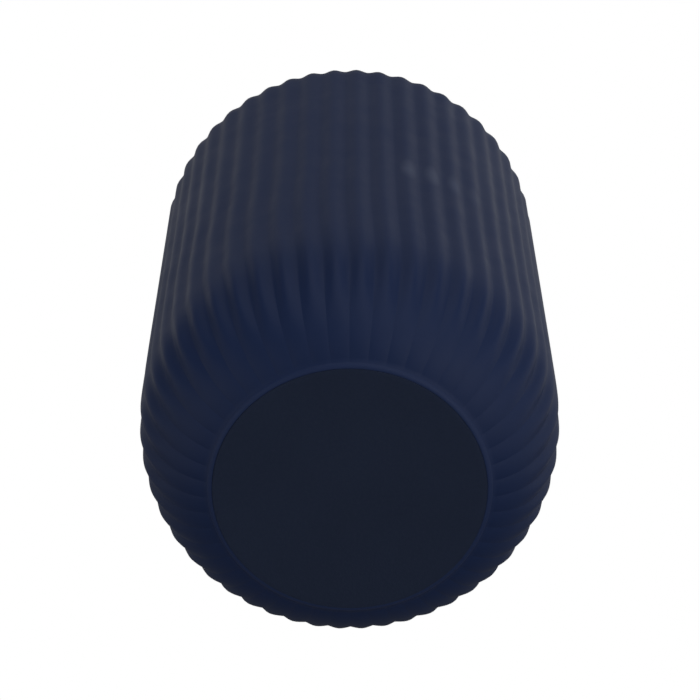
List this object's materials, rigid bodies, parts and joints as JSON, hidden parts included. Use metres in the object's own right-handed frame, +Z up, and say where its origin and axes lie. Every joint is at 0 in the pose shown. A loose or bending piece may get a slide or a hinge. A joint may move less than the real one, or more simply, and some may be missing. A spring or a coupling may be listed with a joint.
{
  "type": "bud vase",
  "caption": "Ribbed cylindrical bud vase of opaque navy glass, with a rounded shoulder, a narrow neck, a rolled lip and a thin pad under its foot.",
  "frame": {"origin": "centre of the pad's underside, on the surface the vase stands on", "axes": "+Z up along the vase's axis; +X through the crest of a rib; +Y and -Y through grooves"},
  "size_m": [0.084, 0.0838, 0.146],
  "materials": {
    "lacquered_glass": "opaque navy lacquer on glass, soft matte outside, glossy inside",
    "pad": "matte foam rubber"
  },
  "bodies": {
    "root": {"glass_body": "lacquered_glass", "base_pad": "pad"}
  },
  "joints": []
}
